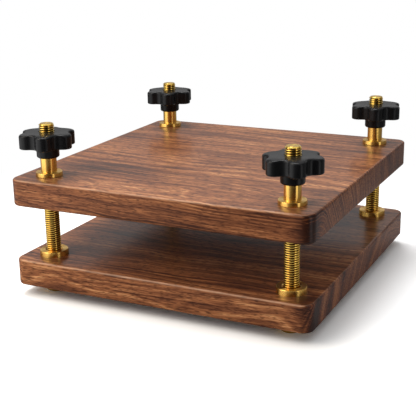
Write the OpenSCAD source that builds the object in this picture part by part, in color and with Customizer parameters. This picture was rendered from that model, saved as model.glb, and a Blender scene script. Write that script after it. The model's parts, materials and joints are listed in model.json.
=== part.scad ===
// Paper flattening press: two wooden boards that four threaded studs and star knobs draw together.
// Units are millimetres. X runs to the right, Y to the back and Z up.
// The origin is on the floor, under the middle of the press.

/* [Boards] */
// Width of both boards, along X
board_w = 250; // [180:1:400]
// Depth of both boards, along Y
board_d = 250; // [180:1:400]
// Thickness of the base board
base_t = 21.5; // [16:0.5:40]
// Thickness of the platen board
platen_t = 21.5; // [16:0.5:40]
// Radius of the boards' upright corners
corner_r = 9; // [5:0.5:16]
// Radius of the boards' eased edges
edge_r = 1.8; // [0.5:0.1:3]
// Clear gap between the boards as they stand
press_gap = 44; // [10:0.5:90]

/* [Studs] */
// Distance from the boards' edges to each stud's axis
stud_inset = 23; // [20:0.5:40]
// Outside diameter of the thread, over its crests
thread_d = 11.8; // [8:0.1:14]
// Pitch of the thread
thread_pitch = 1.75; // [1:0.05:2]
// Height of each stud's end above its knob
stud_stub = 6.2; // [2:0.1:20]
// Chamfer on each stud's upper end
stud_chamfer = 0.9; // [0.3:0.1:1]

/* [Base flanges] */
// Width of the base flange outside the thread
base_flange_rim = 5.7; // [4:0.1:8]
// Height of the base flange above the base board
base_flange_h = 4.3; // [3:0.1:8]
// Depth of the seat sunk in the base board for each base flange
base_flange_seat = 0.5; // [0.2:0.1:2]
// Bevel on the base flange's upper rim
base_flange_bevel = 0.6; // [0.2:0.1:1.2]
// Depth of the countersink where the thread enters the base flange
countersink = 1.1; // [0.4:0.1:1.5]
// Wall of the barrels that the flanges and feet hold in the base board
barrel_wall = 2; // [1:0.1:3]
// Wood left between the upper and lower barrels
base_web = 4; // [2:0.5:8]

/* [Feet] */
// Height of each foot
foot_h = 9; // [4:0.5:15]
// Width of each foot outside the thread
foot_rim = 4.1; // [3:0.1:7]
// Diameter of the flat on which each foot stands
foot_pad_d = 11; // [6:0.5:14]
// Metal between each stud's lower end and the floor
foot_floor = 2; // [1:0.1:3]
// Height of the straight rim at the top of each foot
foot_lip = 1.2; // [0.5:0.1:1.5]

/* [Sleeves] */
// Wall of the sleeve round the stud
sleeve_wall = 0.4; // [0.3:0.05:2]
// Width of the sleeve's flange outside the sleeve
sleeve_flange_rim = 4.35; // [3:0.05:7]
// Height of the sleeve's flange
sleeve_flange_h = 3.1; // [2:0.1:6]
// Bevel on the sleeve flange's rims
sleeve_flange_bevel = 0.3; // [0.1:0.1:0.8]
// Height of the smooth column between the flange and the knob
column_h = 11.5; // [5:0.5:30]

/* [Bushes and collars] */
// Wall of the bush in which each sleeve turns
bush_wall = 1.5; // [1:0.1:2.5]
// Width of the collar outside the sleeve
collar_rim = 3.2; // [2:0.1:4]
// Thickness of the collar
collar_t = 3; // [2:0.1:4]
// End play between the collar and the platen
collar_play = 0.2; // [0.1:0.05:0.4]

/* [Knobs] */
// Number of lobes on each knob
lobe_count = 6; // [5:1:7]
// Diameter over the tips of the lobes
knob_d = 45; // [43:0.5:60]
// Diameter at the bottom of the valleys
valley_d = 34.5; // [30:0.5:35]
// Radius of each lobe's tip
lobe_tip_r = 6.3; // [5:0.1:7]
// Height of the lobed part
lobe_h = 12.1; // [9:0.1:20]
// Fall of the crowned top from its flat middle to the tips of the lobes
crown = 1.3; // [0.5:0.1:2.5]
// Diameter of the flat in the middle of the crowned top
crown_flat_d = 20; // [16:0.5:24]
// Height of the hub below the lobes
hub_h = 8.6; // [4:0.1:15]
// Wall of the hub round the sleeve
hub_wall = 2.55; // [1.5:0.1:4]
// Radius of the hub's lower edge
hub_edge_r = 1.5; // [0.5:0.1:1.5]
// Plastic above the nut
knob_skin = 2; // [1:0.1:3]
// Plastic between the nut and the underside of the lobes
knob_floor = 1; // [0.5:0.1:2]
// Wall of the nut between the thread and its flats
nut_wall = 3.1; // [2:0.1:4]
// Turn of each knob as it stands: front left, front right, back left, back right
knob_turns = [-5, 1, -7, -14]; // [-30:1:30]

/* [Clearances] */
// Running clearance, on the radius
run_clear = 0.04; // [0.02:0.01:0.1]
// Clearance of a seated piece in its pocket, on the radius
seat_clear = 0.05; // [0.02:0.01:0.1]
// Gap under the sleeve's flange
bearing_gap = 0.05; // [0.02:0.01:0.1]
// Clearance of a plain hole round the thread, on the radius
hole_clear = 0.3; // [0.1:0.05:0.6]
// Clearance of the recess round the base flange, on the radius
recess_clear = 1.2; // [0.5:0.1:2]
// Room left over the base flange when the boards meet
closing_clear = 1; // [0.5:0.1:2]

/* [Hidden] */
CORNERS = ["front_left", "front_right", "back_left", "back_right"];
SIDES = [[-1, -1], [1, -1], [-1, 1], [1, 1]];
KINDS = ["stud", "base_flange", "foot", "sleeve", "platen_bush", "collar", "knob", "knob_nut"];

$fn = 64;
// Steps in a quarter of an eased edge, in a foot's curve and in each arc of a knob
arc_steps = 6;
// How far a cut runs past the face that it opens
cut_past = 1;

walnut = [0.43, 0.26, 0.17];
brass_gold = [0.80, 0.62, 0.25];
bush_bronze = [0.66, 0.47, 0.24];
knob_black = [0.07, 0.07, 0.08];

// Proportions of the metric thread form
thread_depth = 0.6134 * thread_pitch;
crest_flat = thread_pitch / 8;
root_flat = thread_pitch / 4;

// Radii about each stud's axis
thread_r = thread_d / 2;
thread_root_r = thread_r - thread_depth;
thread_bore_r = thread_r + run_clear;
thread_hole_r = thread_r + hole_clear;
base_flange_r = thread_r + base_flange_rim;
barrel_r = thread_bore_r + barrel_wall;
foot_r = thread_r + foot_rim;
sleeve_r = thread_bore_r + sleeve_wall;
sleeve_flange_r = sleeve_r + sleeve_flange_rim;
bush_bore_r = sleeve_r + run_clear;
bush_r = bush_bore_r + bush_wall;
collar_r = sleeve_r + collar_rim;
recess_r = max(base_flange_r, collar_r) + recess_clear;
hub_r = sleeve_r + hub_wall;
knob_r = knob_d / 2;
crown_flat_r = crown_flat_d / 2;
nut_flat_r = thread_r + nut_wall;
nut_corner_r = nut_flat_r / cos(30);

// Heights
base_bottom = foot_h;
base_top = base_bottom + base_t;
flange_bottom = base_top - base_flange_seat;
flange_top = base_top + base_flange_h;
barrel_l = (base_t - base_web) / 2;
platen_bottom = base_top + press_gap;
platen_top = platen_bottom + platen_t;
recess_depth = collar_play + collar_t + base_flange_h + closing_clear;
recess_top = platen_bottom + recess_depth;
collar_top = recess_top - collar_play;
collar_bottom = collar_top - collar_t;
sleeve_flange_bottom = platen_top + bearing_gap;
sleeve_flange_top = sleeve_flange_bottom + sleeve_flange_h;
hub_bottom = sleeve_flange_top + column_h;
lobe_bottom = hub_bottom + hub_h;
knob_top = lobe_bottom + lobe_h;
nut_bottom = lobe_bottom + knob_floor;
nut_top = knob_top - knob_skin;
stud_top = knob_top + stud_stub;

// The lobes' outline: a convex arc at each tip, joined tangent to a concave arc in each valley
half_turn = 180;
lobe_step = 2 * half_turn / lobe_count;
valley_turn = lobe_step / 2;
tip_centre_r = knob_r - lobe_tip_r;
valley_r = valley_d / 2;
valley_arc_r = (pow(tip_centre_r, 2) + pow(valley_r, 2) - pow(lobe_tip_r, 2)
    - 2 * tip_centre_r * valley_r * cos(valley_turn))
    / (2 * (lobe_tip_r - valley_r + tip_centre_r * cos(valley_turn)));
valley_centre_r = valley_r + valley_arc_r;
// Angle at a tip's centre from the lobe's own direction to the tangent point
tip_half_angle = atan2(
    valley_centre_r * sin(valley_turn),
    valley_centre_r * cos(valley_turn) - tip_centre_r
);

// The crowned top: an arc that leaves the flat middle tangent to it
crown_run = knob_r - crown_flat_r;
crown_arc_r = (pow(crown_run, 2) + pow(crown, 2)) / (2 * crown);
crown_angle = 2 * atan2(crown, crown_run);

// Points along an arc, with both ends left out where skip is 1
function arc(centre, r, start, end, skip = 0) =
    [for (i = [skip : arc_steps - skip]) let (a = start + (end - start) * i / arc_steps)
        centre + polar(r, a)];

function polar(r, a) = r * [cos(a), sin(a)];

function lobe_outline() =
    [for (i = [0 : lobe_count - 1]) let (
            tip = i * lobe_step,
            valley = tip + valley_turn,
            meets = tip + tip_half_angle,
            leaves = tip + lobe_step - tip_half_angle)
        each concat(
            arc(polar(tip_centre_r, tip), lobe_tip_r, tip - tip_half_angle, meets),
            arc(polar(valley_centre_r, valley), valley_arc_r, meets + half_turn, leaves + half_turn, 1))];

// Half of a board's edge section, outwards along X
function edge_section(t) =
    concat(
        [[0, 0]],
        arc([corner_r - edge_r, edge_r], edge_r, -90, 0),
        arc([corner_r - edge_r, t - edge_r], edge_r, 0, 90),
        [[0, t]]);

// A board's whole section across its depth
function board_section(t) =
    concat(
        arc([board_d / 2 - edge_r, edge_r], edge_r, -90, 0),
        arc([board_d / 2 - edge_r, t - edge_r], edge_r, 0, 90),
        arc([edge_r - board_d / 2, t - edge_r], edge_r, 90, 180),
        arc([edge_r - board_d / 2, edge_r], edge_r, 180, 270));

// One turn of the thread, from the middle of a crest
function thread_turn(z) =
    [[thread_r, z],
     [thread_r, z + crest_flat / 2],
     [thread_root_r, z + (thread_pitch - root_flat) / 2],
     [thread_root_r, z + (thread_pitch + root_flat) / 2],
     [thread_r, z + thread_pitch - crest_flat / 2]];

module at_corner(i) {
    translate([SIDES[i][0] * (board_w / 2 - stud_inset), SIDES[i][1] * (board_d / 2 - stud_inset), 0])
        children();
}

module at_corners() {
    for (i = [0 : len(SIDES) - 1]) at_corner(i) children();
}

module turned(i) {
    rotate([0, 0, knob_turns[i]]) children();
}

module ring(bottom, top, outer_r, bore_r) {
    rotate_extrude() translate([bore_r, bottom]) square([outer_r - bore_r, top - bottom]);
}

module blank_board(t) {
    inner_w = board_w - 2 * corner_r;
    inner_d = board_d - 2 * corner_r;
    translate([-inner_w / 2, 0, 0])
        rotate([90, 0, 90]) linear_extrude(inner_w) polygon(board_section(t));
    for (side = [0, 1])
        mirror([side, 0, 0]) translate([inner_w / 2, inner_d / 2, 0])
            rotate([90, 0, 0]) linear_extrude(inner_d) polygon(edge_section(t));
    for (i = [0 : 3])
        translate([SIDES[i][0] * inner_w / 2, SIDES[i][1] * inner_d / 2, 0])
            rotate([0, 0, atan2(SIDES[i][1], SIDES[i][0]) - 45])
                rotate_extrude(angle = 90) polygon(edge_section(t));
}

module base_board() {
    color(walnut) difference() {
        translate([0, 0, base_bottom]) blank_board(base_t);
        at_corners() {
            translate([0, 0, base_bottom - cut_past])
                cylinder(r = thread_hole_r, h = base_t + 2 * cut_past);
            translate([0, 0, base_bottom - cut_past])
                cylinder(r = barrel_r + seat_clear, h = barrel_l + cut_past);
            translate([0, 0, base_top - barrel_l])
                cylinder(r = barrel_r + seat_clear, h = barrel_l + cut_past);
            translate([0, 0, flange_bottom])
                cylinder(r = base_flange_r + seat_clear, h = base_flange_seat + cut_past);
        }
    }
}

module platen_board() {
    color(walnut) difference() {
        translate([0, 0, platen_bottom]) blank_board(platen_t);
        at_corners() {
            translate([0, 0, platen_bottom - cut_past])
                cylinder(r = bush_r + seat_clear, h = platen_t + 2 * cut_past);
            translate([0, 0, platen_bottom - cut_past])
                cylinder(r = recess_r, h = recess_depth + cut_past);
        }
    }
}

// The thread is drawn as rings at the true pitch and depth
module stud() {
    thread_top = stud_top - stud_chamfer;
    turns = floor((thread_top - base_top) / thread_pitch);
    thread_bottom = thread_top - turns * thread_pitch;
    color(brass_gold) rotate_extrude() polygon(concat(
        [[0, foot_floor], [thread_r, foot_floor]],
        [for (i = [0 : turns - 1]) each thread_turn(thread_bottom + i * thread_pitch)],
        [[thread_r, thread_top], [thread_r - stud_chamfer, stud_top], [0, stud_top]]));
}

module base_flange() {
    color(brass_gold) rotate_extrude() polygon([
        [thread_bore_r, base_top - barrel_l],
        [barrel_r, base_top - barrel_l],
        [barrel_r, flange_bottom],
        [base_flange_r, flange_bottom],
        [base_flange_r, flange_top - base_flange_bevel],
        [base_flange_r - base_flange_bevel, flange_top],
        [thread_bore_r + countersink, flange_top],
        [thread_bore_r, flange_top - countersink]]);
}

module foot() {
    pad_r = foot_pad_d / 2;
    dome_h = foot_h - foot_lip;
    color(brass_gold) rotate_extrude() polygon(concat(
        [[0, 0]],
        [for (i = [0 : arc_steps]) let (a = 90 * i / arc_steps)
            [pad_r + (foot_r - pad_r) * sin(a), dome_h * (1 - cos(a))]],
        [[foot_r, foot_h],
         [barrel_r, foot_h],
         [barrel_r, foot_h + barrel_l],
         [thread_bore_r, foot_h + barrel_l],
         [thread_bore_r, foot_floor],
         [0, foot_floor]]));
}

module sleeve() {
    color(brass_gold) rotate_extrude() polygon([
        [thread_bore_r, collar_bottom],
        [sleeve_r, collar_bottom],
        [sleeve_r, sleeve_flange_bottom],
        [sleeve_flange_r - sleeve_flange_bevel, sleeve_flange_bottom],
        [sleeve_flange_r, sleeve_flange_bottom + sleeve_flange_bevel],
        [sleeve_flange_r, sleeve_flange_top - sleeve_flange_bevel],
        [sleeve_flange_r - sleeve_flange_bevel, sleeve_flange_top],
        [sleeve_r, sleeve_flange_top],
        [sleeve_r, nut_bottom],
        [thread_bore_r, nut_bottom]]);
}

module platen_bush() {
    color(bush_bronze) ring(recess_top, platen_top, bush_r, bush_bore_r);
}

module collar() {
    color(brass_gold) ring(collar_bottom, collar_top, collar_r, sleeve_r + seat_clear);
}

module knob() {
    color(knob_black) difference() {
        union() {
            translate([0, 0, lobe_bottom]) linear_extrude(lobe_h) polygon(lobe_outline());
            rotate_extrude() polygon(concat(
                [[0, hub_bottom]],
                arc([hub_r - hub_edge_r, hub_bottom + hub_edge_r], hub_edge_r, -90, 0),
                [[hub_r, lobe_bottom + knob_floor], [0, lobe_bottom + knob_floor]]));
        }
        translate([0, 0, hub_bottom - cut_past])
            cylinder(r = sleeve_r + seat_clear, h = nut_bottom - hub_bottom + cut_past);
        translate([0, 0, nut_bottom])
            cylinder(r = nut_corner_r + seat_clear, h = nut_top - nut_bottom, $fn = 6);
        translate([0, 0, nut_top]) cylinder(r = thread_hole_r, h = knob_skin + cut_past);
        rotate_extrude() polygon(concat(
            arc([crown_flat_r, knob_top - crown_arc_r], crown_arc_r, 90, 90 - crown_angle),
            [[knob_r + cut_past, knob_top - crown],
             [knob_r + cut_past, knob_top + cut_past],
             [crown_flat_r, knob_top + cut_past]]));
    }
}

module knob_nut() {
    color(brass_gold) difference() {
        translate([0, 0, nut_bottom]) cylinder(r = nut_corner_r, h = nut_top - nut_bottom, $fn = 6);
        translate([0, 0, nut_bottom - cut_past])
            cylinder(r = thread_bore_r, h = nut_top - nut_bottom + 2 * cut_past);
    }
}

base_board();
platen_board();
for (i = [0 : len(CORNERS) - 1]) {
    at_corner(i) stud();
    at_corner(i) base_flange();
    at_corner(i) foot();
    at_corner(i) sleeve();
    at_corner(i) platen_bush();
    at_corner(i) collar();
    at_corner(i) turned(i) knob();
    at_corner(i) turned(i) knob_nut();
}
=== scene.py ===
import json
import math

import bmesh
import bpy
from mathutils import Matrix, Vector


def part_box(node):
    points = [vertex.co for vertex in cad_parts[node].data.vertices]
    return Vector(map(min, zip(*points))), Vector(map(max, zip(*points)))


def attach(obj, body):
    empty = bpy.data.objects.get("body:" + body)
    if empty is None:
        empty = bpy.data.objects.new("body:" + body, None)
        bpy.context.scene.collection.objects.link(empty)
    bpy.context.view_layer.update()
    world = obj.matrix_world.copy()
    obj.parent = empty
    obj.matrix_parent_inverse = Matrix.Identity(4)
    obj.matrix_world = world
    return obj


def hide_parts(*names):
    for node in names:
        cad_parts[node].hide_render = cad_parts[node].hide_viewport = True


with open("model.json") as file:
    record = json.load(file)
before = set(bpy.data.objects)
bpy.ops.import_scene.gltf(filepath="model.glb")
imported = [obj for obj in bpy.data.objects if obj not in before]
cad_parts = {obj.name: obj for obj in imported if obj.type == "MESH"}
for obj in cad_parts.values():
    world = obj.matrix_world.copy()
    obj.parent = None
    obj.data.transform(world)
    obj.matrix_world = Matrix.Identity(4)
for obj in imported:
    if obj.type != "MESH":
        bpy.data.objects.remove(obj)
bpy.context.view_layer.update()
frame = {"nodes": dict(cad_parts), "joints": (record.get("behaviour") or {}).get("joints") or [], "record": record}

MM = 0.001
CORNERS = ("front_left", "front_right", "back_left", "back_right")

# Sizes of the boards
CORNER_R = 9 * MM
EDGE_R = 1.8 * MM
RECESS_EASE = 0.4 * MM

# Sizes of the studs and of what is fixed to them
THREAD_PITCH = 1.75 * MM
THREAD_DEPTH = 0.6134 * THREAD_PITCH
# One turn of the thread, as shares of its pitch and depth: rounded crest, flank, root, flank
THREAD_FORM = ((-0.24, 0.1), (-0.1, 0), (0.1, 0), (0.24, 0.1), (0.36, 0.6), (0.45, 1), (0.55, 1), (0.64, 0.6))
# Turns that are drawn below the thread's lower end and then cut off level
THREAD_RUN_IN = 2
STUD_CHAMFER = 0.9 * MM
RUN_CLEAR = 0.04 * MM
SEAT_CLEAR = 0.05 * MM
HOLE_CLEAR = 0.3 * MM
BARREL_WALL = 2 * MM
BASE_WEB = 4 * MM
FLANGE_SEAT = 0.5 * MM
FLANGE_BEVEL = 0.6 * MM
FLANGE_DRAFT = 0.3 * MM
COUNTERSINK = 1.1 * MM
COUNTERSINK_EASE = 0.15 * MM
FOOT_PAD_R = 5.5 * MM
FOOT_FLOOR = 2 * MM
FOOT_LIP = 1.2 * MM

# Sizes of the sleeves, bushes and collars
SLEEVE_WALL = 0.4 * MM
SLEEVE_FLANGE_H = 3.1 * MM
SLEEVE_LOWER_EASE = 0.2 * MM
SLEEVE_UPPER_EASE = 0.3 * MM
SLEEVE_FILLET_R = 0.25 * MM
BEARING_GAP = 0.05 * MM
RECESS_R = 12.8 * MM
BUSH_EASE = 0.2 * MM
COLLAR_EASE = 0.4 * MM

# Sizes of the knobs, and how far each is turned, in degrees
LOBES = 6
KNOB_R = 22.5 * MM
VALLEY_R = 17.25 * MM
LOBE_TIP_R = 6.3 * MM
LOBE_H = 12.1 * MM
HUB_WALL = 2.55 * MM
HUB_EDGE_R = 1.5 * MM
HUB_FILLET_R = 0.7 * MM
LOBE_LOWER_EDGE_R = 1 * MM
LOBE_UPPER_EDGE_R = 1.3 * MM
CROWN = 1.3 * MM
CROWN_FLAT_R = 10 * MM
KNOB_HOLE_EASE = 0.4 * MM
NUT_WALL = 3.1 * MM
KNOB_TURNS = {"front_left": -5, "front_right": 1, "back_left": -7, "back_right": -14}

# Fineness of the meshes
TURNED_SEGMENTS = 96
THREAD_SEGMENTS = 48
EASE_STEPS = 5
CORNER_STEPS = 14
LOBE_ARC_STEPS = 10
CROWN_STEPS = (0.1, 0.3, 0.55, 0.8, 1)
SUPPORT = 0.5 * MM
EASE_SUPPORT = 0.1 * MM
SHARP_ANGLE = math.radians(32)

# Where each corner's axis stands, from the knobs' hinges
AXES = {joint["name"].replace("knob_turn_", ""): Vector(joint["pos_m"][:2])
        for joint in frame["joints"] if joint["type"] == "hinge"}
BODY_OF = {node: body for body, nodes in frame["record"]["behaviour"]["bodies"].items() for node in nodes}


# Geometry helpers

def reach(node, corner):
    """How far a node reaches from its corner's axis, and its lowest and highest height."""
    low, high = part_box(node)
    return high.x - AXES[corner].x, low.z, high.z


# Radii that the pieces on a stud share, and the height of a stud's end
thread_r, _, stud_top = reach("stud_front_left", "front_left")
thread_bore_r = thread_r + RUN_CLEAR
barrel_r = thread_bore_r + BARREL_WALL
sleeve_r = thread_bore_r + SLEEVE_WALL


def polar(radius, angle):
    """A point at a radius and an angle."""
    return Vector((radius * math.cos(angle), radius * math.sin(angle)))


def arc(centre, radius, start, end, steps):
    """Points along an arc, with both of its ends."""
    angles = [start + (end - start) * i / steps for i in range(steps + 1)]
    return [Vector((centre[0] + radius * math.cos(a), centre[1] + radius * math.sin(a))) for a in angles]


def quarter_turn(steps):
    """Angles from none to a quarter turn."""
    return [math.pi / 2 * k / steps for k in range(steps + 1)]


def rounding(radius):
    """Steps round an edge: how far it has still to go one way, and how far it has gone the other way."""
    return [(radius * (1 - math.sin(t)), radius * (1 - math.cos(t))) for t in quarter_turn(EASE_STEPS)]


def eased(corners):
    """A closed outline whose corners, each given with a radius, are rounded, with a point beside each arc."""
    points = []
    for i, (x, y, radius) in enumerate(corners):
        corner = Vector((x, y))
        if not radius:
            points.append(corner)
            continue
        before = (Vector(corners[i - 1][:2]) - corner).normalized()
        after = (Vector(corners[(i + 1) % len(corners)][:2]) - corner).normalized()
        half = before.angle(after) / 2
        centre = corner + (before + after).normalized() * radius / math.sin(half)
        start = (corner + before * radius / math.tan(half) - centre).normalized()
        end = (corner + after * radius / math.tan(half) - centre).normalized()
        points.append(centre + start * radius + before * EASE_SUPPORT)
        points += [centre + start.slerp(end, k / EASE_STEPS) * radius for k in range(EASE_STEPS + 1)]
        points.append(centre + end * radius + after * EASE_SUPPORT)
    return points


def loft(bm, loops, closed=False):
    """Faces from each loop of points to the next, and from the last to the first where closed."""
    rows = [[bm.verts.new(point) for point in loop] for loop in loops]
    pairs = list(zip(rows, rows[1:]))
    if closed:
        pairs.append((rows[-1], rows[0]))
    for lower, upper in pairs:
        for i in range(len(lower)):
            j = (i + 1) % len(lower)
            bm.faces.new((lower[i], lower[j], upper[j], upper[i]))
    return rows


def circles(axis, profile):
    """A level circle round an axis for each radius and height of a profile."""
    angles = [2 * math.pi * i / TURNED_SEGMENTS for i in range(TURNED_SEGMENTS)]
    return [[(*(axis + polar(radius, a)), z) for a in angles] for radius, z in profile]


def turned(axis, profile, solid=False):
    """A turned piece: a profile of radii and heights, swept round an axis."""
    bm = bmesh.new()
    rows = loft(bm, circles(axis, profile), closed=not solid)
    if solid:
        bm.faces.new(rows[0])
        bm.faces.new(rows[-1])
    return bm


def place_in_scene(name, data):
    """An object of the scene that holds a mesh, a camera or a lamp."""
    made = bpy.data.objects.new(name, data)
    bpy.context.scene.collection.objects.link(made)
    return made


def dress(name, bm, node, material):
    """Makes the mesh a piece that stands for a node of the frame."""
    bmesh.ops.recalc_face_normals(bm, faces=bm.faces)
    mesh = bpy.data.meshes.new(name)
    bm.to_mesh(mesh)
    bm.free()
    mesh.shade_smooth()
    mesh.set_sharp_from_angle(angle=SHARP_ANGLE)
    mesh.materials.append(material)
    piece = place_in_scene(name, mesh)
    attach(piece, BODY_OF[node])
    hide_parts(node)


# Boards

def board_outline(low, high, inset, z):
    """A board's rounded outline, drawn in by an inset."""
    radius = CORNER_R - inset
    x = high.x - CORNER_R
    y = high.y - CORNER_R
    middle = (low + high) / 2
    quarter = math.pi / 2
    points = []
    for i, (side_x, side_y) in enumerate(((1, 1), (-1, 1), (-1, -1), (1, -1))):
        centre = (middle.x + side_x * (x - middle.x), middle.y + side_y * (y - middle.y))
        points += arc(centre, radius, i * quarter, (i + 1) * quarter, CORNER_STEPS)
    return [(*p, z) for p in points]


def fill_face(bm, rim, holes):
    """Fills a board's level face inside its rim and round its holes."""
    edges = [bm.edges.get((loop[i - 1], loop[i])) for loop in (rim, *holes) for i in range(len(loop))]
    bmesh.ops.triangle_fill(bm, edges=edges, use_beauty=True)


def board(node, hole_profile, material):
    """A board with eased edges and a stepped hole at each corner, listed from top to bottom."""
    low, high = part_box(node)
    bm = bmesh.new()
    lower = [(inset, low.z + rise) for inset, rise in rounding(EDGE_R)]
    lower.append((0, low.z + EDGE_R + SUPPORT))
    upper = [(inset, low.z + high.z - z) for inset, z in reversed(lower)]
    section = [(EDGE_R + SUPPORT, low.z), *lower, *upper, (EDGE_R + SUPPORT, high.z)]
    shell = loft(bm, [board_outline(low, high, inset, z) for inset, z in section])
    holes = [loft(bm, circles(axis, hole_profile)) for axis in AXES.values()]
    fill_face(bm, shell[-1], [hole[0] for hole in holes])
    fill_face(bm, shell[0], [hole[-1] for hole in holes])
    dress("walnut_" + node, bm, node, material)


def base_board(material):
    """The lower board, with seats for the flanges and holes for the barrels and studs."""
    low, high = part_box("base_board")
    seat_hole_r = reach("base_flange_front_left", "front_left")[0] + SEAT_CLEAR
    barrel_hole_r = barrel_r + SEAT_CLEAR
    stud_hole_r = thread_r + HOLE_CLEAR
    depth = (high.z - low.z - BASE_WEB) / 2
    board("base_board", [
        (seat_hole_r, high.z),
        (seat_hole_r, high.z - FLANGE_SEAT),
        (barrel_hole_r, high.z - FLANGE_SEAT),
        (barrel_hole_r, high.z - depth),
        (stud_hole_r, high.z - depth),
        (stud_hole_r, low.z + depth),
        (barrel_hole_r, low.z + depth),
        (barrel_hole_r, low.z)], material)


def platen_board(material):
    """The upper board, with holes for the bushes and recesses for the collars."""
    low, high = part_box("platen_board")
    bush_r, recess_top = reach("platen_bush_front_left", "front_left")[:2]
    bush_hole_r = bush_r + SEAT_CLEAR
    board("platen_board", [
        (bush_hole_r, high.z),
        (bush_hole_r, recess_top),
        (RECESS_R, recess_top),
        (RECESS_R, low.z + RECESS_EASE),
        (RECESS_R + RECESS_EASE, low.z)], material)


# Studs

def thread_columns(bm, axis, crest_r, low, high):
    """Upright rows of points round a stud, each a little further up the helix than the one before."""
    turns = math.ceil((high - low) / THREAD_PITCH) + THREAD_RUN_IN + 1
    start = low - THREAD_RUN_IN * THREAD_PITCH
    columns = []
    for j in range(THREAD_SEGMENTS):
        lead = j / THREAD_SEGMENTS
        column = []
        for turn in range(turns):
            for share, depth in THREAD_FORM:
                z = start + THREAD_PITCH * (turn + share + lead)
                # The chamfer draws the end in, but never to nothing
                radius = min(crest_r - THREAD_DEPTH * depth, crest_r + high - STUD_CHAMFER - z)
                point = axis + polar(max(radius, THREAD_DEPTH), 2 * math.pi * lead)
                column.append(bm.verts.new((*point, z)))
        columns.append(column)
    return columns


def join_columns(bm, columns):
    """Faces between the columns. The last one meets the first a turn further up."""
    for j, near in enumerate(columns):
        far = columns[(j + 1) % len(columns)]
        shift = len(THREAD_FORM) if j + 1 == len(columns) else 0
        for i in range(len(near) - 1 - shift):
            bm.faces.new((near[i], far[i + shift], far[i + 1 + shift], near[i + 1]))


def cut_level(bm, height, way):
    """Cuts off what lies above a height, or below it where the way is -1, and gives the edges of the cut."""
    cut = bmesh.ops.bisect_plane(bm, geom=bm.verts[:] + bm.edges[:] + bm.faces[:], clear_outer=True,
                                 plane_co=(0, 0, height), plane_no=(0, 0, way))
    return [edge for edge in cut["geom_cut"] if isinstance(edge, bmesh.types.BMEdge)]


def stud(corner, material):
    """A stud with a true right-hand helical thread above the base board and a plain shank in it."""
    node = "stud_" + corner
    crest_r, bottom, top = reach(node, corner)
    thread_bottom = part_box("base_board")[1].z
    bm = bmesh.new()
    join_columns(bm, thread_columns(bm, AXES[corner], crest_r, thread_bottom, top))
    bmesh.ops.edgeloop_fill(bm, edges=cut_level(bm, top, 1))
    shank = bmesh.ops.extrude_edge_only(bm, edges=cut_level(bm, thread_bottom, -1))["geom"]
    for part in shank:
        if isinstance(part, bmesh.types.BMVert):
            part.co.z = bottom
    rim = [part for part in shank if isinstance(part, bmesh.types.BMEdge) and part.is_boundary]
    bmesh.ops.edgeloop_fill(bm, edges=rim)
    dress("brass_" + node, bm, node, material)


# Turned fittings

def base_flange(corner, material):
    """The flange that locks a stud to the base board, with its barrel in the wood."""
    node = "base_flange_" + corner
    flange_r, bottom, top = reach(node, corner)
    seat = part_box("base_board")[1].z - FLANGE_SEAT
    profile = eased([
        (thread_bore_r, bottom, 0),
        (barrel_r, bottom, 0),
        (barrel_r, seat, 0),
        (flange_r, seat, 0),
        (flange_r - FLANGE_DRAFT, top, FLANGE_BEVEL),
        (thread_bore_r + COUNTERSINK, top, COUNTERSINK_EASE),
        (thread_bore_r, top - COUNTERSINK, 0)])
    dress("brass_" + node, turned(AXES[corner], profile), node, material)


def foot(corner, material):
    """The domed foot nut under the base board, with its barrel in the wood."""
    node = "foot_" + corner
    foot_r, bottom, top = reach(node, corner)
    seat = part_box("base_board")[0].z
    dome_w = foot_r - FOOT_PAD_R
    dome_h = seat - FOOT_LIP - bottom
    dome = [(FOOT_PAD_R + dome_w * math.sin(t), bottom + dome_h * (1 - math.cos(t)))
            for t in quarter_turn(CORNER_STEPS)]
    barrel = [(foot_r, seat), (barrel_r, seat), (barrel_r, top)]
    bore = [(thread_bore_r, top), (thread_bore_r, bottom + FOOT_FLOOR)]
    dress("brass_" + node, turned(AXES[corner], dome + barrel + bore, solid=True), node, material)


def sleeve(corner, material):
    """The smooth column above the platen, with its flange, down to the collar."""
    node = "sleeve_" + corner
    flange_r, bottom, top = reach(node, corner)
    flange_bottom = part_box("platen_board")[1].z + BEARING_GAP
    flange_top = flange_bottom + SLEEVE_FLANGE_H
    profile = eased([
        (thread_bore_r, bottom, 0),
        (sleeve_r, bottom, 0),
        (sleeve_r, flange_bottom, 0),
        (flange_r, flange_bottom, SLEEVE_LOWER_EASE),
        (flange_r - FLANGE_DRAFT, flange_top, SLEEVE_UPPER_EASE),
        (sleeve_r, flange_top, SLEEVE_FILLET_R),
        (sleeve_r, top, 0),
        (thread_bore_r, top, 0)])
    dress("brass_" + node, turned(AXES[corner], profile), node, material)


def plain_ring(prefix, node, corner, bore_r, ease, material):
    """A plain turned ring with eased rims."""
    outer_r, bottom, top = reach(node, corner)
    profile = eased([(bore_r, bottom, 0), (outer_r, bottom, ease), (outer_r, top, ease), (bore_r, top, 0)])
    dress(prefix + node, turned(AXES[corner], profile), node, material)


def platen_bush(corner, material):
    """The bush in the platen, in which a sleeve turns."""
    plain_ring("bronze_", "platen_bush_" + corner, corner, sleeve_r + RUN_CLEAR, BUSH_EASE, material)


def collar(corner, material):
    """The collar on a sleeve's lower end, which lifts the platen."""
    plain_ring("brass_", "collar_" + corner, corner, sleeve_r + SEAT_CLEAR, COLLAR_EASE, material)


# Knobs

LOBE_STEP = 2 * math.pi / LOBES


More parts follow.
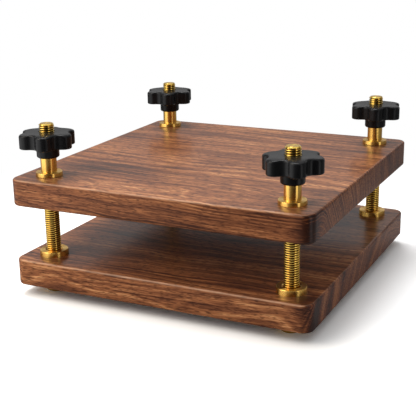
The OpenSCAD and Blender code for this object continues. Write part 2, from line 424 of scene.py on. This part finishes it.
def lobe_arcs():
    """Centre distances and radii of the tip and valley arcs, and the half angle of a tip."""
    tip_centre = KNOB_R - LOBE_TIP_R
    turn = LOBE_STEP / 2
    along = tip_centre * math.cos(turn)
    valley_arc_r = ((tip_centre ** 2 + VALLEY_R ** 2 - LOBE_TIP_R ** 2 - 2 * along * VALLEY_R)
                    / (2 * (LOBE_TIP_R - VALLEY_R + along)))
    valley_centre = VALLEY_R + valley_arc_r
    half = math.atan2(valley_centre * math.sin(turn), valley_centre * math.cos(turn) - tip_centre)
    return tip_centre, valley_centre, valley_arc_r, half


def star(inset):
    """The lobed outline, drawn in square to itself by an inset."""
    tip_centre, valley_centre, valley_arc_r, half = lobe_arcs()
    points = []
    for i in range(LOBES):
        tip = i * LOBE_STEP
        valley = tip + LOBE_STEP / 2
        start = tip + half + math.pi
        end = tip + LOBE_STEP - half + math.pi
        points += arc(polar(tip_centre, tip), LOBE_TIP_R - inset, tip - half, tip + half, LOBE_ARC_STEPS)
        points += arc(polar(valley_centre, valley), valley_arc_r + inset, start, end, LOBE_ARC_STEPS)[1:-1]
    return points


# Bearings of the star's points, so that every loop of a knob has as many points
STAR_ANGLES = [point.angle_signed(Vector((1, 0))) for point in star(0)]


def star_loop(inset, z):
    """The lobed outline at a height."""
    return [(*point, z) for point in star(inset)]


def ring_loop(radius, z):
    """A circle at a height."""
    return [(*polar(radius, a), z) for a in STAR_ANGLES]


def hexagon_loop(flat, z):
    """A hexagon at a height, given by the distance of its flats from the axis."""
    step = math.pi / 3
    return [(*polar(flat / math.cos(a % step - step / 2), a), z) for a in STAR_ANGLES]


def between(first, second, share, z):
    """A loop part of the way from one loop to another."""
    return [(*Vector(p[:2]).lerp(Vector(q[:2]), share), z) for p, q in zip(first, second)]


def crown_fall(radius):
    """How far the crowned top has fallen at a radius: an arc that leaves the flat middle tangent to it."""
    run = KNOB_R - CROWN_FLAT_R
    arc_r = (run ** 2 + CROWN ** 2) / (2 * CROWN)
    past = max(radius - CROWN_FLAT_R, 0)
    return arc_r - math.sqrt(arc_r ** 2 - past ** 2)


def crowned(loop, top, sunk=0.0):
    """A loop laid on the crowned top, or sunk below it."""
    return [(x, y, top - crown_fall(math.hypot(x, y)) - sunk) for x, y, _ in loop]


def hub_loops(low, lobe_low):
    """The hub from its bore, round its lower edge and up to its fillet under the lobes."""
    hub_r = sleeve_r + HUB_WALL
    loops = [ring_loop(sleeve_r + SEAT_CLEAR, low)]
    loops += [ring_loop(hub_r - inset, low + rise) for inset, rise in rounding(HUB_EDGE_R)]
    loops += [ring_loop(hub_r + flare, lobe_low - drop) for drop, flare in rounding(HUB_FILLET_R)]
    return loops


def head_loops(hub_top, lobe_low, top):
    """The lobed head, from the hub's top out under the lobes, round their edges and in over the crown."""
    under = star_loop(LOBE_LOWER_EDGE_R, lobe_low)
    loops = [between(hub_top, under, 0.5, lobe_low)]
    loops += [star_loop(inset, lobe_low + rise) for inset, rise in rounding(LOBE_LOWER_EDGE_R)]
    loops.append(star_loop(0, lobe_low + LOBE_LOWER_EDGE_R + SUPPORT))
    loops.append(crowned(star_loop(0, 0), top, LOBE_UPPER_EDGE_R + SUPPORT))
    loops += [crowned(star_loop(inset, 0), top, sunk) for sunk, inset in rounding(LOBE_UPPER_EDGE_R)]
    rim = star_loop(LOBE_UPPER_EDGE_R, 0)
    flat = ring_loop(CROWN_FLAT_R, 0)
    loops += [crowned(between(rim, flat, share, 0), top) for share in CROWN_STEPS]
    return loops


def bore_loops(top, nut_top, nut_bottom):
    """The hole for the stud, the hexagonal seat of the nut and the hole for the sleeve."""
    hole_r = thread_r + HOLE_CLEAR
    nut_flat = thread_r + NUT_WALL + SEAT_CLEAR
    loops = [ring_loop(hole_r + out, top - drop) for out, drop in rounding(KNOB_HOLE_EASE)]
    loops.append(ring_loop(hole_r, nut_top))
    loops.append(hexagon_loop(nut_flat, nut_top))
    loops.append(hexagon_loop(nut_flat, nut_bottom))
    loops.append(ring_loop(sleeve_r + SEAT_CLEAR, nut_bottom))
    return loops


def knob(corner, material):
    """A star knob: a lobed head with rounded edges on a round hub, bored for its sleeve and stud."""
    node = "knob_" + corner
    low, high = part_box(node)
    nut_low, nut_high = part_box("knob_nut_" + corner)
    lobe_low = high.z - LOBE_H
    hub = hub_loops(low.z, lobe_low)
    head = head_loops(hub[-1], lobe_low, high.z)
    bore = bore_loops(high.z, nut_high.z, nut_low.z)
    bm = bmesh.new()
    loft(bm, hub + head + bore, closed=True)
    place = Matrix.Translation((*AXES[corner], 0)) @ Matrix.Rotation(math.radians(KNOB_TURNS[corner]), 4, "Z")
    bmesh.ops.transform(bm, matrix=place, verts=bm.verts)
    dress("black_" + node, bm, node, material)


def knob_nut(corner, material):
    """The nut in a knob, which stays as the frame has it and only gets its material."""
    mesh = frame["nodes"]["knob_nut_" + corner].data
    mesh.materials.clear()
    mesh.materials.append(material)


# Helpers for materials

def linear(red, green, blue):
    """A colour given in 0 to 255 screen values, as linear light."""
    def channel(value):
        value /= 255
        return value / 12.92 if value <= 0.04045 else ((value + 0.055) / 1.055) ** 2.4
    return (channel(red), channel(green), channel(blue), 1)


def add(tree, kind, inputs=None, **settings):
    """Adds a node, with its settings and its inputs, each a value or another node's output."""
    made = tree.nodes.new("ShaderNode" + kind)
    for key, value in settings.items():
        setattr(made, key, value)
    for key, value in (inputs or {}).items():
        if isinstance(value, bpy.types.NodeSocket):
            tree.links.new(value, made.inputs[key])
        else:
            made.inputs[key].default_value = value
    return made


def math_node(tree, operation, first, second=0.0, third=0.0, clamp=False):
    """An operation on up to three numbers."""
    return add(tree, "Math", {0: first, 1: second, 2: third}, operation=operation, use_clamp=clamp).outputs[0]


def vector_node(tree, operation, *values):
    """An operation on up to three vectors."""
    made = add(tree, "VectorMath", dict(enumerate(values)), operation=operation)
    return made.outputs["Value" if operation == "LENGTH" else "Vector"]


def axes_of(tree, vector):
    """The X, Y and Z of a vector."""
    return add(tree, "SeparateXYZ", {0: vector}).outputs


def remap(tree, value, source=(0.0, 1.0), target=(0.0, 1.0), smooth=False):
    """A value carried from one range to another and kept within it."""
    inputs = {"Value": value, "From Min": source[0], "From Max": source[1],
              "To Min": target[0], "To Max": target[1]}
    kind = "SMOOTHSTEP" if smooth else "LINEAR"
    return add(tree, "MapRange", inputs, interpolation_type=kind).outputs[0]


def mix(tree, factor, first, second):
    """A number between two others."""
    return add(tree, "Mix", {"Factor": factor, "A": first, "B": second}).outputs[0]


def blend(tree, factor, first, second, way="MIX"):
    """A colour between two others."""
    return add(tree, "MixRGB", {"Fac": factor, "Color1": first, "Color2": second}, blend_type=way).outputs[0]


def ramp(tree, value, stops):
    """A colour ramp with stops of place and colour."""
    made = add(tree, "ValToRGB", {"Fac": value})
    elements = made.color_ramp.elements
    while len(elements) < len(stops):
        elements.new(1)
    for element, (place, colour) in zip(elements, stops):
        element.position = place
        element.color = colour
    return made.outputs["Color"]


def empty_material(name):
    """A material without nodes, and its node tree."""
    material = bpy.data.materials.new(name)
    material.use_nodes = True
    material.node_tree.nodes.clear()
    return material, material.node_tree


def new_material(name):
    """A material with its shader, as the material, its node tree and the shader node."""
    material, tree = empty_material(name)
    shader = add(tree, "BsdfPrincipled")
    add(tree, "OutputMaterial", {"Surface": shader.outputs[0]})
    return material, tree, shader


def stretched_noise(tree, point, cells, detail, roughness=0.5):
    """Noise given by its cells a metre along X, Y and Z."""
    place = vector_node(tree, "MULTIPLY", point, cells)
    inputs = {"Vector": place, "Scale": 1.0, "Detail": detail, "Roughness": roughness}
    return add(tree, "TexNoise", inputs).outputs


def even_noise(tree, point, cells, detail):
    """Noise with as many cells a metre every way."""
    return stretched_noise(tree, point, (cells, cells, cells), detail)["Fac"]


def line_noise(tree, place, cells, detail, roughness):
    """Noise along a line, given by its cells a metre."""
    inputs = {"W": place, "Scale": cells, "Detail": detail, "Roughness": roughness}
    return add(tree, "TexNoise", inputs, noise_dimensions="1D").outputs["Fac"]


# Walnut

# Noise of the grain: cells a metre along X, Y and Z, detail and roughness
GRAIN_NOISE = {
    "sway": ((8, 14, 14), 2, 0.5),
    "wave": ((26, 90, 90), 2, 0.5),
    "fibres": ((6, 300, 700), 3, 0.6),
    "flecks": ((60, 420, 800), 2, 0.6),
    "pores": ((200, 800, 1500), 1, 0.5),
    "tones": ((8, 22, 22), 2, 0.5)}
# Noise by the distance from the pith: cells a metre, detail and roughness
RING_NOISE = {"bands": (75, 1, 0.5), "rings": (165, 2, 0.5), "lines": (560, 3, 0.65)}
SEED_STEPS = (1, 2.3, 3.1)
# How far the grain's sway and wave move the rings, the fibres and the patches along X, Y and Z
RING_SWAY = (0.024, 0.024, 0.024)
RING_WAVE = (0.003, 0.003, 0.003)
FIBRE_SWAY = (0.012, 0.012, 0.012)
PATCH_SWAY = (0.08, 0.05, 0.0)
# Shares of the figure on the sides, on the tops, which are lifted to be paler, and in the end grain
SIDE_SHARES = {"bands": 0.24, "lines": 0.28, "fibres": 0.42, "flecks": 0.30, "tones": 0.30}
TOP_SHARES = {"bands": 0.12, "rings": 0.26, "lines": 0.26, "fibres": 0.36, "flecks": 0.10, "tones": 0.28}
TOP_LIFT = 0.065
END_SHARES = {"flecks": 0.35, "tones": 0.30}
# What bands and lines make up together in the end grain
END_RINGS = 0.95
# How squarely a face looks along X, from no end grain to nothing else
END_FACING = (0.1, 0.8)
FIGURE_RANGE = (0.605, 0.935)
WOOD_COLOURS = (
    (0.0, linear(60, 31, 19)),
    (0.35, linear(118, 69, 42)),
    (0.65, linear(159, 100, 62)),
    (1.0, linear(210, 150, 100)))
PORE_RANGE = (0.52, 0.66)
PORE_STRENGTH = 0.7
PORE_COLOUR = linear(56, 28, 17)
END_TINT = (0.50, 0.365, 0.28, 1)
# A painted highlight on the upper rims, in flecks: its gain, its offset, how much of it the ends lose and its
# colour
RIM_HIGHLIGHT_GAIN = 4.0
RIM_HIGHLIGHT_OFFSET = -0.6
RIM_HIGHLIGHT_LOST_ON_ENDS = 2.0
RIM_HIGHLIGHT_COLOUR = linear(222, 176, 140)
WOOD_ROUGHNESS = (0.42, 0.58)
WOOD_BUMP = 0.12
WOOD_RELIEF = 0.15 * MM
WOOD_SPECULAR = 0.08
# The oil's gloss: least on the sides, more on the ends and most on the tops
COAT_RANGE = (0.16, 0.56)
COAT_ON_ENDS = 0.35
COAT_ROUGHNESS = 0.25


def moved(tree, point, offset, amounts):
    """A point moved by an offset, by its own amount along each axis."""
    return vector_node(tree, "MULTIPLY_ADD", offset, amounts, point)


def weighted(tree, figure, shares, lift=0.0):
    """The sum of the figure's values, each with its share."""
    total = lift
    for name, share in shares.items():
        total = math_node(tree, "MULTIPLY_ADD", figure[name], share, total)
    return total


def wood_figure(tree, place, pith, slope, seed):
    """The figure's values by name, with growth rings round a pith line along X, and the grain's sway."""
    mapping = {"Vector": place, "Location": [-v for v in pith], "Rotation": slope}
    point = add(tree, "Mapping", mapping, vector_type="POINT").outputs[0]
    shifted = vector_node(tree, "ADD", point, [seed * step for step in SEED_STEPS])

    def offset(name):
        noise = stretched_noise(tree, shifted, *GRAIN_NOISE[name])["Color"]
        return vector_node(tree, "SUBTRACT", noise, (0.5, 0.5, 0.5))

    sway = offset("sway")
    warped = moved(tree, moved(tree, point, sway, RING_SWAY), offset("wave"), RING_WAVE)
    radius = vector_node(tree, "LENGTH", vector_node(tree, "MULTIPLY", warped, (0, 1, 1)))
    figure = {name: line_noise(tree, radius, *settings) for name, settings in RING_NOISE.items()}
    swayed = moved(tree, shifted, sway, FIBRE_SWAY)
    figure["fibres"] = stretched_noise(tree, swayed, *GRAIN_NOISE["fibres"])["Fac"]
    for name in ("flecks", "pores", "tones"):
        figure[name] = stretched_noise(tree, shifted, *GRAIN_NOISE[name])["Fac"]
    return figure, sway


def patched(tree, value, place, sway, patches):
    """A value made lower in the patches, or higher where their depth is below zero."""
    blurred = moved(tree, place, sway, PATCH_SWAY)
    for middle, size, depth in patches:
        share = vector_node(tree, "DIVIDE", vector_node(tree, "SUBTRACT", blurred, middle), size)
        patch = remap(tree, vector_node(tree, "LENGTH", share), target=(depth, 0.0), smooth=True)
        value = math_node(tree, "SUBTRACT", value, patch)
    return value


def painted_rim_highlight(tree, flecks, end_grain, level):
    """A painted highlight, pale on the upper rims only, in flecks, and not on the ends."""
    rim = math_node(tree, "MULTIPLY", level, math_node(tree, "SUBTRACT", 1.0, level))
    kept = math_node(tree, "MULTIPLY_ADD", end_grain, -RIM_HIGHLIGHT_LOST_ON_ENDS, 1.0, clamp=True)
    flecked = math_node(tree, "MULTIPLY_ADD", flecks, RIM_HIGHLIGHT_GAIN, RIM_HIGHLIGHT_OFFSET)
    return math_node(tree, "MULTIPLY", math_node(tree, "MULTIPLY", rim, kept), flecked, clamp=True)


def wood_finish(tree, shader, fibres, pores, end_grain, level):
    """The wood's roughness, its relief and the gloss of its oil."""
    tree.links.new(remap(tree, fibres, target=WOOD_ROUGHNESS), shader.inputs["Roughness"])
    relief = math_node(tree, "MULTIPLY_ADD", pores, -1.0, fibres)
    bump = add(tree, "Bump", {"Height": relief, "Strength": WOOD_BUMP, "Distance": WOOD_RELIEF})
    tree.links.new(bump.outputs[0], shader.inputs["Normal"])
    shown = math_node(tree, "MULTIPLY_ADD", end_grain, COAT_ON_ENDS, level)
    tree.links.new(remap(tree, shown, target=COAT_RANGE), shader.inputs["Coat Weight"])
    shader.inputs["Coat Roughness"].default_value = COAT_ROUGHNESS
    shader.inputs["Specular IOR Level"].default_value = WOOD_SPECULAR


def walnut(name, pith, slope, seed, end_bands, patches):
    """Oiled walnut as a solid, with its figure, its end grain, a painted highlight on its upper rims and an oiled
    finish.

    The slope turns the grain and the seed picks its noise. The end bands are the share of the broad rings in
    the end grain. A patch makes the wood darker or paler, given by its middle, its size and its depth; the
    patches on the front right corners are painted shade.
    """
    material, tree, shader = new_material(name)
    coords = add(tree, "TexCoord").outputs
    figure, sway = wood_figure(tree, coords["Object"], pith, slope, seed)
    facing = axes_of(tree, coords["Normal"])
    end_grain = remap(tree, math_node(tree, "ABSOLUTE", facing["X"]), END_FACING, smooth=True)
    level = math_node(tree, "POWER", math_node(tree, "MAXIMUM", facing["Z"], 0.0), 2.0)
    sides = weighted(tree, figure, SIDE_SHARES)
    tops = weighted(tree, figure, TOP_SHARES, TOP_LIFT)
    ends = weighted(tree, figure, {"bands": end_bands, "lines": END_RINGS - end_bands, **END_SHARES})
    mixed = mix(tree, end_grain, mix(tree, level, sides, tops), ends)
    mixed = patched(tree, mixed, coords["Object"], sway, patches)
    pores = remap(tree, figure["pores"], PORE_RANGE, (0.0, PORE_STRENGTH))
    colour = ramp(tree, remap(tree, mixed, FIGURE_RANGE), WOOD_COLOURS)
    colour = blend(tree, pores, colour, PORE_COLOUR)
    colour = blend(tree, end_grain, colour, END_TINT, "MULTIPLY")
    colour = blend(tree, painted_rim_highlight(tree, figure["flecks"], end_grain, level), colour, RIM_HIGHLIGHT_COLOUR)
    tree.links.new(colour, shader.inputs["Base Color"])
    wood_finish(tree, shader, figure["fibres"], pores, end_grain, level)
    return material


# Each board's pith, the slope of its grain, its seed, its end bands and its patches of tone and of painted shade
BASE_PITH = (0, 0.085, -0.070)
BASE_SLOPE = (0, math.radians(1.2), math.radians(-0.8))
BASE_SEED = 6.2
BASE_END_BANDS = 0.5
# The first patch is painted shade on the base's rounded front right corner; the second makes the front darker near
# its right end and the third makes it paler towards the left
BASE_TONE_AND_SHADE_PATCHES = (((0.134, -0.121, 0.018), (0.021, 0.022, 0.028), 0.27),
                ((0.100, -0.125, 0.020), (0.060, 0.050, 0.040), 0.03),
                ((-0.040, -0.125, 0.020), (0.140, 0.050, 0.040), -0.03))
PLATEN_PITH = (0, -0.115, 0.05)
PLATEN_SLOPE = (0, math.radians(-1.5), math.radians(1.0))
PLATEN_SEED = 11.4
PLATEN_END_BANDS = 0.2
PLATEN_TONE_AND_SHADE_PATCHES = (((-0.045, -0.072, 0.096), (0.045, 0.026, 0.030), 0.06),
                  ((0.015, -0.052, 0.096), (0.060, 0.028, 0.030), -0.06),
                  ((-0.088, -0.068, 0.096), (0.040, 0.016, 0.030), 0.12),
                  ((0.010, -0.112, 0.098), (0.140, 0.030, 0.008), -0.05),
                  # Painted shade on the platen's rounded front right corner
                  ((0.121, -0.121, 0.085), (0.020, 0.020, 0.022), 0.26))


# Brass and bronze

# Colour, roughness and how far the tool rings spread reflections
TURNED_BRASS = ((0.93, 0.57, 0.14, 1), 0.22, 0.95)
THREAD_BRASS = ((1.0, 0.66, 0.14, 1), 0.13, 0.6)
BUSH_BRONZE = ((0.60, 0.38, 0.18, 1), 0.34, 0.5)
TARNISH_CELLS = 120
TARNISH_DETAIL = 3
TARNISH_RANGE = (0.35, 0.75)
TARNISH_SHADE = 0.86
ROUGHNESS_SPREAD = (0.8, 1.25)
# Level faces that look up are a little rougher
FACED_RANGE = (0.9, 1.0)
FACED_ROUGHNESS = 0.14
# A quarter turn, so that the tool rings spread reflections along the axis
SPREAD_TURN = 0.25
# Painted shade in the thread's grooves: how strong it is and its colour
GROOVE_SHADE_STRENGTH = 0.8
GROOVE_SHADE_COLOUR = (0.08, 0.035, 0.006, 1)


def painted_groove_shade(tree, place, root_r, crest_r, end):
    """Painted shade in a thread's grooves, by the distance from the nearest stud's axis, and none near the stud's
    end.
    """
    axis = AXES["back_right"]
    away = vector_node(tree, "ADD", vector_node(tree, "ABSOLUTE", place), (-axis.x, -axis.y, 0))
    radius = vector_node(tree, "LENGTH", vector_node(tree, "MULTIPLY", away, (1, 1, 0)))
    deep = remap(tree, radius, (root_r, crest_r), (GROOVE_SHADE_STRENGTH, 0.0))
    height = axes_of(tree, place)["Z"]
    below = remap(tree, height, (end - 2 * STUD_CHAMFER, end - STUD_CHAMFER), (1.0, 0.0))
    return math_node(tree, "MULTIPLY", deep, below)


def brass(name, colour, roughness, spread, groove=None):
    """Bright turned metal with a faint tarnish. A groove, as its root, crest and upper end, gets painted shade."""
    material, tree, shader = new_material(name)
    coords = add(tree, "TexCoord").outputs
    tarnish = even_noise(tree, coords["Object"], TARNISH_CELLS, TARNISH_DETAIL)
    darker = (*(c * TARNISH_SHADE for c in colour[:3]), 1)
    base = blend(tree, remap(tree, tarnish, TARNISH_RANGE), colour, darker)
    if groove:
        base = blend(tree, painted_groove_shade(tree, coords["Object"], *groove), base, GROOVE_SHADE_COLOUR)
    tree.links.new(base, shader.inputs["Base Color"])
    rough = remap(tree, tarnish, target=[roughness * share for share in ROUGHNESS_SPREAD])
    faced = remap(tree, axes_of(tree, coords["Normal"])["Z"], FACED_RANGE, (0.0, FACED_ROUGHNESS))
    tree.links.new(math_node(tree, "ADD", rough, faced), shader.inputs["Roughness"])
    shader.inputs["Metallic"].default_value = 1.0
    shader.inputs["Anisotropic"].default_value = spread
    shader.inputs["Anisotropic Rotation"].default_value = SPREAD_TURN
    return material


# Plastic

PLASTIC_GRAIN_CELLS = 2600
PLASTIC_CLOUD_CELLS = 90
PLASTIC_DETAIL = 2
PLASTIC_COLOURS = ((0.3, (0.005, 0.005, 0.0055, 1)), (0.7, (0.008, 0.008, 0.0088, 1)))
PLASTIC_ROUGHNESS = (0.22, 0.28)
PLASTIC_BUMP = 0.12
PLASTIC_RELIEF = 0.05 * MM
PLASTIC_SPECULAR = 0.18


def plastic(name):
    """Satin moulded black plastic with a fine spark texture."""
    material, tree, shader = new_material(name)
    place = add(tree, "TexCoord").outputs["Object"]
    grain = even_noise(tree, place, PLASTIC_GRAIN_CELLS, PLASTIC_DETAIL)
    cloud = even_noise(tree, place, PLASTIC_CLOUD_CELLS, PLASTIC_DETAIL)
    tree.links.new(ramp(tree, cloud, PLASTIC_COLOURS), shader.inputs["Base Color"])
    tree.links.new(remap(tree, cloud, target=PLASTIC_ROUGHNESS), shader.inputs["Roughness"])
    bump = add(tree, "Bump", {"Height": grain, "Strength": PLASTIC_BUMP, "Distance": PLASTIC_RELIEF})
    tree.links.new(bump.outputs[0], shader.inputs["Normal"])
    shader.inputs["Specular IOR Level"].default_value = PLASTIC_SPECULAR
    return material


# The object

base_walnut = walnut("walnut_base", BASE_PITH, BASE_SLOPE, BASE_SEED, BASE_END_BANDS, BASE_TONE_AND_SHADE_PATCHES)
platen_walnut = walnut("walnut_platen", PLATEN_PITH, PLATEN_SLOPE, PLATEN_SEED, PLATEN_END_BANDS,
                       PLATEN_TONE_AND_SHADE_PATCHES)
turned_brass = brass("brass_turned", *TURNED_BRASS)
thread_brass = brass("brass_thread", *THREAD_BRASS, (thread_r - THREAD_DEPTH, thread_r, stud_top))
bush_bronze = brass("bronze_bush", *BUSH_BRONZE)
black_plastic = plastic("plastic_black")

base_board(base_walnut)
platen_board(platen_walnut)
for corner in CORNERS:
    stud(corner, thread_brass)
    base_flange(corner, turned_brass)
    foot(corner, turned_brass)
    sleeve(corner, turned_brass)
    platen_bush(corner, bush_bronze)
    collar(corner, turned_brass)
    knob(corner, black_plastic)
    knob_nut(corner, turned_brass)


# Camera

CAMERA_PLACE = (0.3248, -0.6973, 0.2850)
CAMERA_YAW = math.radians(25.85)
CAMERA_PITCH = math.radians(16.82)
CAMERA_ROLL = math.radians(-0.87)
CAMERA_LENS = 81.86
SENSOR_WIDTH = 36


def camera():
    """The camera at the photograph's viewing angle."""
    data = bpy.data.cameras.new("camera")
    data.lens = CAMERA_LENS
    data.sensor_width = SENSOR_WIDTH
    made = place_in_scene("camera", data)
    turn = (Matrix.Rotation(CAMERA_YAW, 4, "Z") @ Matrix.Rotation(math.pi / 2 - CAMERA_PITCH, 4, "X")
            @ Matrix.Rotation(CAMERA_ROLL, 4, "Z"))
    made.matrix_world = Matrix.Translation(CAMERA_PLACE) @ turn
    bpy.context.scene.camera = made


# Floor and studio

WHITE = (1, 1, 1, 1)
# Brightness of the surroundings by bearing, in degrees to the right of the camera as seen from the object
STUDIO_BEARINGS = ((-180, 0.2), (-112, 0.2), (-92, 1.7), (-48, 1.7), (-36, 0.4),
                   (-20, 0.15), (0, 0.03), (24, 0.02), (33, 0.15), (38, 1.5),
                   (47, 1.5), (53, 0.25), (100, 0.2), (120, 0.2), (180, 0.2))
OVERHEAD = (0.86, 0.86, 0.86, 1)
OVERHEAD_HEIGHT = (0.55, 0.9)
# The white backdrop that gloss shows behind the object: its bearings, its upper edge and its lower fade
BACKDROP_BEARINGS = (math.radians(110), math.radians(130))
BACKDROP_EDGE = (0.34, 0.46)
BACKDROP_FADE = (0.22, 0.33)
BACKDROP_AT_FLOOR = 0.1
FLOOR_HALF = 12
FLOOR_COLOUR = 0.46
FLOOR_SEEN = 1.2
FLOOR_NEAR = 0.24
FLOOR_FAR = 0.42


def surroundings(tree, direction):
    """The studio by bearing, and where it is plain white: for the camera, and behind the object for gloss."""
    mapping = {"Vector": direction, "Rotation": (0, 0, -CAMERA_YAW)}
    axis = axes_of(tree, add(tree, "Mapping", mapping, vector_type="POINT").outputs[0])
    bearing = math_node(tree, "ARCTAN2", axis["X"], math_node(tree, "MULTIPLY", axis["Y"], -1.0))
    share = math_node(tree, "MULTIPLY_ADD", bearing, 1 / (2 * math.pi), 0.5)
    stops = [(degrees / 360 + 0.5, (light, light, light, 1)) for degrees, light in STUDIO_BEARINGS]
    strip = ramp(tree, share, stops)
    behind = remap(tree, math_node(tree, "ABSOLUTE", bearing), BACKDROP_BEARINGS)
    low = remap(tree, axis["Z"], BACKDROP_EDGE, (1.0, 0.0))
    glow = remap(tree, axis["Z"], BACKDROP_FADE, (BACKDROP_AT_FLOOR, 1.0))
    backdrop = math_node(tree, "MULTIPLY", behind, math_node(tree, "MULTIPLY", low, glow))
    ray = add(tree, "LightPath").outputs
    mirrored = math_node(tree, "MAXIMUM", ray["Is Glossy Ray"], ray["Is Transmission Ray"])
    white = math_node(tree, "MAXIMUM", ray["Is Camera Ray"], math_node(tree, "MULTIPLY", mirrored, backdrop))
    return strip, white


def floor_material():
    """White near the object, giving way further out to the surroundings of the studio."""
    material, tree = empty_material("floor_white")
    place = add(tree, "TexCoord").outputs["Object"]
    strip, white = surroundings(tree, place)
    near = add(tree, "BsdfDiffuse", {"Color": remap(tree, white, target=(FLOOR_COLOUR, FLOOR_SEEN))})
    beyond = add(tree, "Emission", {"Color": blend(tree, white, strip, WHITE)})
    far = remap(tree, vector_node(tree, "LENGTH", place), (FLOOR_NEAR, FLOOR_FAR), smooth=True)
    mixed = add(tree, "MixShader", {0: far, 1: near.outputs[0], 2: beyond.outputs[0]})
    add(tree, "OutputMaterial", {"Surface": mixed.outputs[0]})
    return material


def floor():
    """A wide plain floor."""
    bm = bmesh.new()
    bmesh.ops.create_grid(bm, x_segments=1, y_segments=1, size=FLOOR_HALF)
    mesh = bpy.data.meshes.new("floor")
    bm.to_mesh(mesh)
    bm.free()
    mesh.materials.append(floor_material())
    made = place_in_scene("floor", mesh)


def studio():
    """The surroundings by direction, with plain white where the camera looks past the object."""
    world = bpy.data.worlds.new("studio")
    bpy.context.scene.world = world
    world.use_nodes = True
    tree = world.node_tree
    tree.nodes.clear()
    direction = add(tree, "TexCoord").outputs["Generated"]
    strip, white = surroundings(tree, direction)
    up = remap(tree, axes_of(tree, direction)["Z"], OVERHEAD_HEIGHT, smooth=True)
    dome = blend(tree, up, strip, OVERHEAD)
    background = add(tree, "Background", {"Color": blend(tree, white, dome, WHITE), "Strength": 1.0})
    add(tree, "OutputWorld", {"Surface": background.outputs[0]})


# Lamps

KEY_ENERGY = 1.7
KEY_ANGLE = math.radians(28)
KEY_TOWARDS = Vector((-0.24, 0.17, 0.955))
PANEL_ENERGY = 2.3
PANEL_COLOUR = (1.0, 0.9, 0.76)
PANEL_SIZE = (0.42, 0.44)
PANEL_PLACE = Vector((-0.38, -0.46, 0.52))
PANEL_AIM = Vector((0, 0, 0.06))


def facing_away(direction):
    """The turn of a lamp whose back is to a direction."""
    return direction.to_track_quat("Z", "Y").to_euler()


def key_light():
    """A broad soft light from above, a little to the left and behind."""
    data = bpy.data.lights.new("key", "SUN")
    data.energy = KEY_ENERGY
    data.angle = KEY_ANGLE
    made = place_in_scene("key", data)
    made.rotation_euler = facing_away(KEY_TOWARDS)


def panel_light():
    """A soft panel close by at the front left, so the front faces darken towards the right."""
    data = bpy.data.lights.new("panel", "AREA")
    data.shape = "RECTANGLE"
    data.size, data.size_y = PANEL_SIZE
    data.energy = PANEL_ENERGY
    data.color = PANEL_COLOUR
    made = place_in_scene("panel", data)
    made.location = PANEL_PLACE
    made.rotation_euler = facing_away(PANEL_PLACE - PANEL_AIM)


camera()
floor()
studio()
key_light()
panel_light()
bpy.context.scene.view_settings.view_transform = "Standard"
